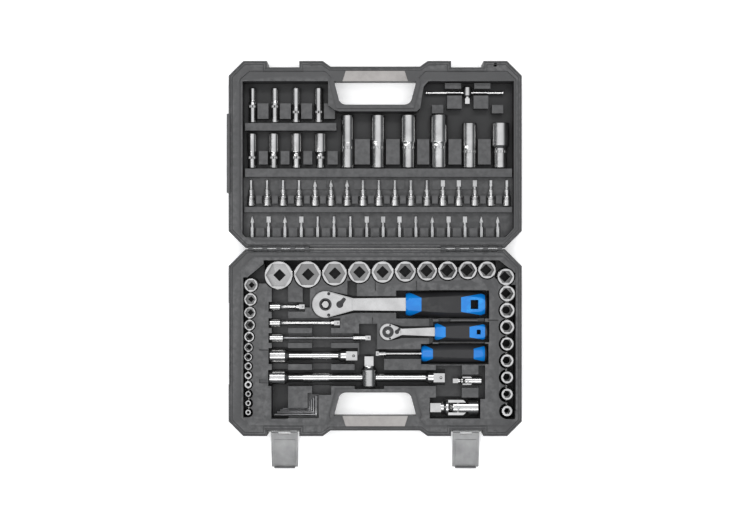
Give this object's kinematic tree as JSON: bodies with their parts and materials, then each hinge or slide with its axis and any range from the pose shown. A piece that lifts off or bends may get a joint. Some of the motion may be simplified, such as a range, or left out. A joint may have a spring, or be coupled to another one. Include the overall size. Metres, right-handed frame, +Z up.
{
  "type": "socket_wrench_set",
  "caption": "Socket wrench set in an open hinged case: ratchets with blue and black grips, extensions, chrome sockets, bits, hex keys and steel latches.",
  "frame": {"origin": "centre of the base's bottom face", "axes": "+X along the hinge to the right, +Y from the carry bar to the hinge and lid, +Z up out of the open case"},
  "size_m": [0.419, 0.5847, 0.0511],
  "materials": {
    "case_plastic": "fine textured charcoal plastic",
    "grip_pad": "light grey textured soft plastic",
    "galvanised": "galvanised stamped steel",
    "handle_blue": "glossy blue plastic",
    "handle_black": "matte black rubber",
    "black_steel": "dark tool steel",
    "chrome": "satin chrome plate"
  },
  "bodies": {
    "base": {"base_shell": "case_plastic", "base_tray": "case_plastic", "base_grip_pad": "grip_pad", "hinge_pins": "galvanised", "latch_pins": "galvanised"},
    "lid": {"lid_shell": "case_plastic", "lid_tray": "case_plastic", "lid_grip_pad": "grip_pad"},
    "left_latch": {"left_latch": "galvanised"},
    "right_latch": {"right_latch": "galvanised"},
    "big_ratchet": {"big_ratchet_body": "chrome", "big_ratchet_cover": "chrome", "big_ratchet_screws": "galvanised", "big_handle_core": "handle_blue", "big_handle_sleeve": "handle_black"},
    "big_ratchet_gear": {"big_ratchet_gear": "chrome"},
    "big_ratchet_button": {"big_ratchet_button": "chrome", "big_ratchet_spring": "galvanised"},
    "big_ratchet_lever": {"big_ratchet_lever": "black_steel"},
    "big_ratchet_pawl": {"big_ratchet_pawl": "chrome"},
    "small_ratchet": {"small_ratchet_body": "chrome", "small_ratchet_cover": "chrome", "small_ratchet_screws": "galvanised", "small_handle_core": "handle_blue", "small_handle_sleeve": "handle_black"},
    "small_ratchet_gear": {"small_ratchet_gear": "chrome"},
    "small_ratchet_button": {"small_ratchet_button": "chrome", "small_ratchet_spring": "galvanised"},
    "small_ratchet_lever": {"small_ratchet_lever": "black_steel"},
    "small_ratchet_pawl": {"small_ratchet_pawl": "chrome"},
    "spinner": {"spinner_shaft": "chrome", "spinner_core": "handle_blue", "spinner_sleeve": "handle_black"},
    "extension_50": {"extension_50": "chrome"},
    "extension_100": {"extension_100": "chrome"},
    "flex_extension": {"flex_extension_ends": "chrome", "flex_extension_cable": "black_steel"},
    "extension_125": {"extension_125": "chrome"},
    "extension_250": {"extension_250": "chrome"},
    "t_head": {"t_head": "chrome"},
    "t_bar": {"t_bar": "chrome"},
    "t_bar_slider": {"t_bar_slider": "chrome"},
    "big_joint": {"big_joint_socket_yoke": "chrome"},
    "big_joint_cross": {"big_joint_cross": "chrome"},
    "big_joint_square": {"big_joint_square_yoke": "chrome"},
    "small_joint": {"small_joint_socket_yoke": "chrome"},
    "small_joint_cross": {"small_joint_cross": "chrome"},
    "small_joint_square": {"small_joint_square_yoke": "chrome"},
    "hex_keys": {"hex_keys": "black_steel"},
    "half_inch_sockets": {"half_inch_sockets": "chrome", "bit_adapter": "chrome"},
    "quarter_inch_sockets": {"quarter_inch_sockets": "chrome"},
    "quarter_deep_sockets": {"quarter_deep_sockets": "chrome"},
    "large_deep_sockets": {"half_deep_sockets": "chrome", "spark_plug_sockets": "chrome", "spark_plug_inserts": "handle_black"},
    "bit_sockets": {"bit_socket_bodies": "chrome", "bit_socket_bits": "black_steel"},
    "screwdriver_bits": {"screwdriver_bits": "black_steel"}
  },
  "joints": [
    {"name": "lid_hinge", "type": "hinge", "parent": "base", "child": "lid", "pos_m": [0, 0.1338, 0.045], "axis": [-1, 0, 0], "range_deg": [-180, 0]},
    {"name": "left_latch_hinge", "type": "hinge", "parent": "base", "child": "left_latch", "pos_m": [-0.131, -0.1285, 0.016], "axis": [1, 0, 0], "range_deg": [-103, 0]},
    {"name": "right_latch_hinge", "type": "hinge", "parent": "base", "child": "right_latch", "pos_m": [0.131, -0.1285, 0.016], "axis": [1, 0, 0], "range_deg": [-103, 0]},
    {"name": "big_gear_turn", "type": "hinge", "parent": "big_ratchet", "child": "big_ratchet_gear", "pos_m": [-0.0709, 0.0543, 0.032], "axis": [0, 0, 1], "continuous": true},
    {"name": "big_button_press", "type": "slide", "parent": "big_ratchet", "child": "big_ratchet_button", "axis": [0, 0, 1], "range_m": [-0.0012, 0], "stiffness_N_per_m": 400},
    {"name": "big_lever_turn", "type": "hinge", "parent": "big_ratchet", "child": "big_ratchet_lever", "pos_m": [-0.05038, 0.0543, 0.032], "axis": [0, 0, 1], "range_deg": [-25, 25]},
    {"name": "big_pawl_rock", "type": "hinge", "parent": "big_ratchet", "child": "big_ratchet_pawl", "pos_m": [-0.05038, 0.0543, 0.032], "axis": [0, 0, 1], "range_deg": [-8, 8]},
    {"name": "small_gear_turn", "type": "hinge", "parent": "small_ratchet", "child": "small_ratchet_gear", "pos_m": [0.0182, 0.0152, 0.037], "axis": [0, 0, 1], "continuous": true},
    {"name": "small_button_press", "type": "slide", "parent": "small_ratchet", "child": "small_ratchet_button", "axis": [0, 0, 1], "range_m": [-0.0012, 0], "stiffness_N_per_m": 400},
    {"name": "small_lever_turn", "type": "hinge", "parent": "small_ratchet", "child": "small_ratchet_lever", "pos_m": [0.03094, 0.0152, 0.037], "axis": [0, 0, 1], "range_deg": [-25, 25]},
    {"name": "small_pawl_rock", "type": "hinge", "parent": "small_ratchet", "child": "small_ratchet_pawl", "pos_m": [0.03094, 0.0152, 0.037], "axis": [0, 0, 1], "range_deg": [-8, 8]},
    {"name": "big_joint_swing", "type": "hinge", "parent": "big_joint", "child": "big_joint_cross", "pos_m": [0.1183, -0.0927, 0.0345], "axis": [0, 0, 1], "range_deg": [-8, 8]},
    {"name": "big_joint_bend", "type": "hinge", "parent": "big_joint_cross", "child": "big_joint_square", "pos_m": [0.1183, -0.0927, 0.0345], "axis": [0, 1, 0], "range_deg": [0, 30]},
    {"name": "small_joint_swing", "type": "hinge", "parent": "small_joint", "child": "small_joint_cross", "pos_m": [0.132, -0.0544, 0.0395], "axis": [0, 0, 1], "range_deg": [-8, 8]},
    {"name": "small_joint_bend", "type": "hinge", "parent": "small_joint_cross", "child": "small_joint_square", "pos_m": [0.132, -0.0544, 0.0395], "axis": [0, 1, 0], "range_deg": [0, 30]},
    {"name": "t_head_slide", "type": "slide", "parent": "extension_250", "child": "t_head", "axis": [1, 0, 0], "range_m": [-0.008, 0.006]},
    {"name": "t_bar_slide", "type": "slide", "parent": "t_bar", "child": "t_bar_slider", "axis": [1, 0, 0], "range_m": [-0.0015, 0.0015]},
    {"name": "big_ratchet_lift", "type": "slide", "parent": "base", "child": "big_ratchet", "axis": [0, 0, 1], "range_m": [0, 0.06]},
    {"name": "small_ratchet_lift", "type": "slide", "parent": "base", "child": "small_ratchet", "axis": [0, 0, 1], "range_m": [0, 0.06]},
    {"name": "spinner_lift", "type": "slide", "parent": "base", "child": "spinner", "axis": [0, 0, 1], "range_m": [0, 0.06]},
    {"name": "extension_50_lift", "type": "slide", "parent": "base", "child": "extension_50", "axis": [0, 0, 1], "range_m": [0, 0.06]},
    {"name": "extension_100_lift", "type": "slide", "parent": "base", "child": "extension_100", "axis": [0, 0, 1], "range_m": [0, 0.06]},
    {"name": "flex_extension_lift", "type": "slide", "parent": "base", "child": "flex_extension", "axis": [0, 0, 1], "range_m": [0, 0.06]},
    {"name": "extension_125_lift", "type": "slide", "parent": "base", "child": "extension_125", "axis": [0, 0, 1], "range_m": [0, 0.06]},
    {"name": "extension_250_lift", "type": "slide", "parent": "base", "child": "extension_250", "axis": [0, 0, 1], "range_m": [0, 0.06]},
    {"name": "big_joint_lift", "type": "slide", "parent": "base", "child": "big_joint", "axis": [0, 0, 1], "range_m": [0, 0.06]},
    {"name": "small_joint_lift", "type": "slide", "parent": "base", "child": "small_joint", "axis": [0, 0, 1], "range_m": [0, 0.06]},
    {"name": "hex_keys_lift", "type": "slide", "parent": "base", "child": "hex_keys", "axis": [0, 0, 1], "range_m": [0, 0.06]},
    {"name": "half_inch_sockets_lift", "type": "slide", "parent": "base", "child": "half_inch_sockets", "axis": [0, 0, 1], "range_m": [0, 0.06]},
    {"name": "quarter_inch_sockets_lift", "type": "slide", "parent": "base", "child": "quarter_inch_sockets", "axis": [0, 0, 1], "range_m": [0, 0.06]},
    {"name": "t_bar_lift", "type": "slide", "parent": "lid", "child": "t_bar", "axis": [0, 0, 1], "range_m": [0, 0.06]},
    {"name": "quarter_deep_sockets_lift", "type": "slide", "parent": "lid", "child": "quarter_deep_sockets", "axis": [0, 0, 1], "range_m": [0, 0.06]},
    {"name": "large_deep_sockets_lift", "type": "slide", "parent": "lid", "child": "large_deep_sockets", "axis": [0, 0, 1], "range_m": [0, 0.06]},
    {"name": "bit_sockets_lift", "type": "slide", "parent": "lid", "child": "bit_sockets", "axis": [0, 0, 1], "range_m": [0, 0.06]},
    {"name": "screwdriver_bits_lift", "type": "slide", "parent": "lid", "child": "screwdriver_bits", "axis": [0, 0, 1], "range_m": [0, 0.06]}
  ],
  "couplings": [
    {"joint": "big_pawl_rock", "follows": "big_lever_turn", "ratio": 0.3},
    {"joint": "small_pawl_rock", "follows": "small_lever_turn", "ratio": 0.3}
  ]
}
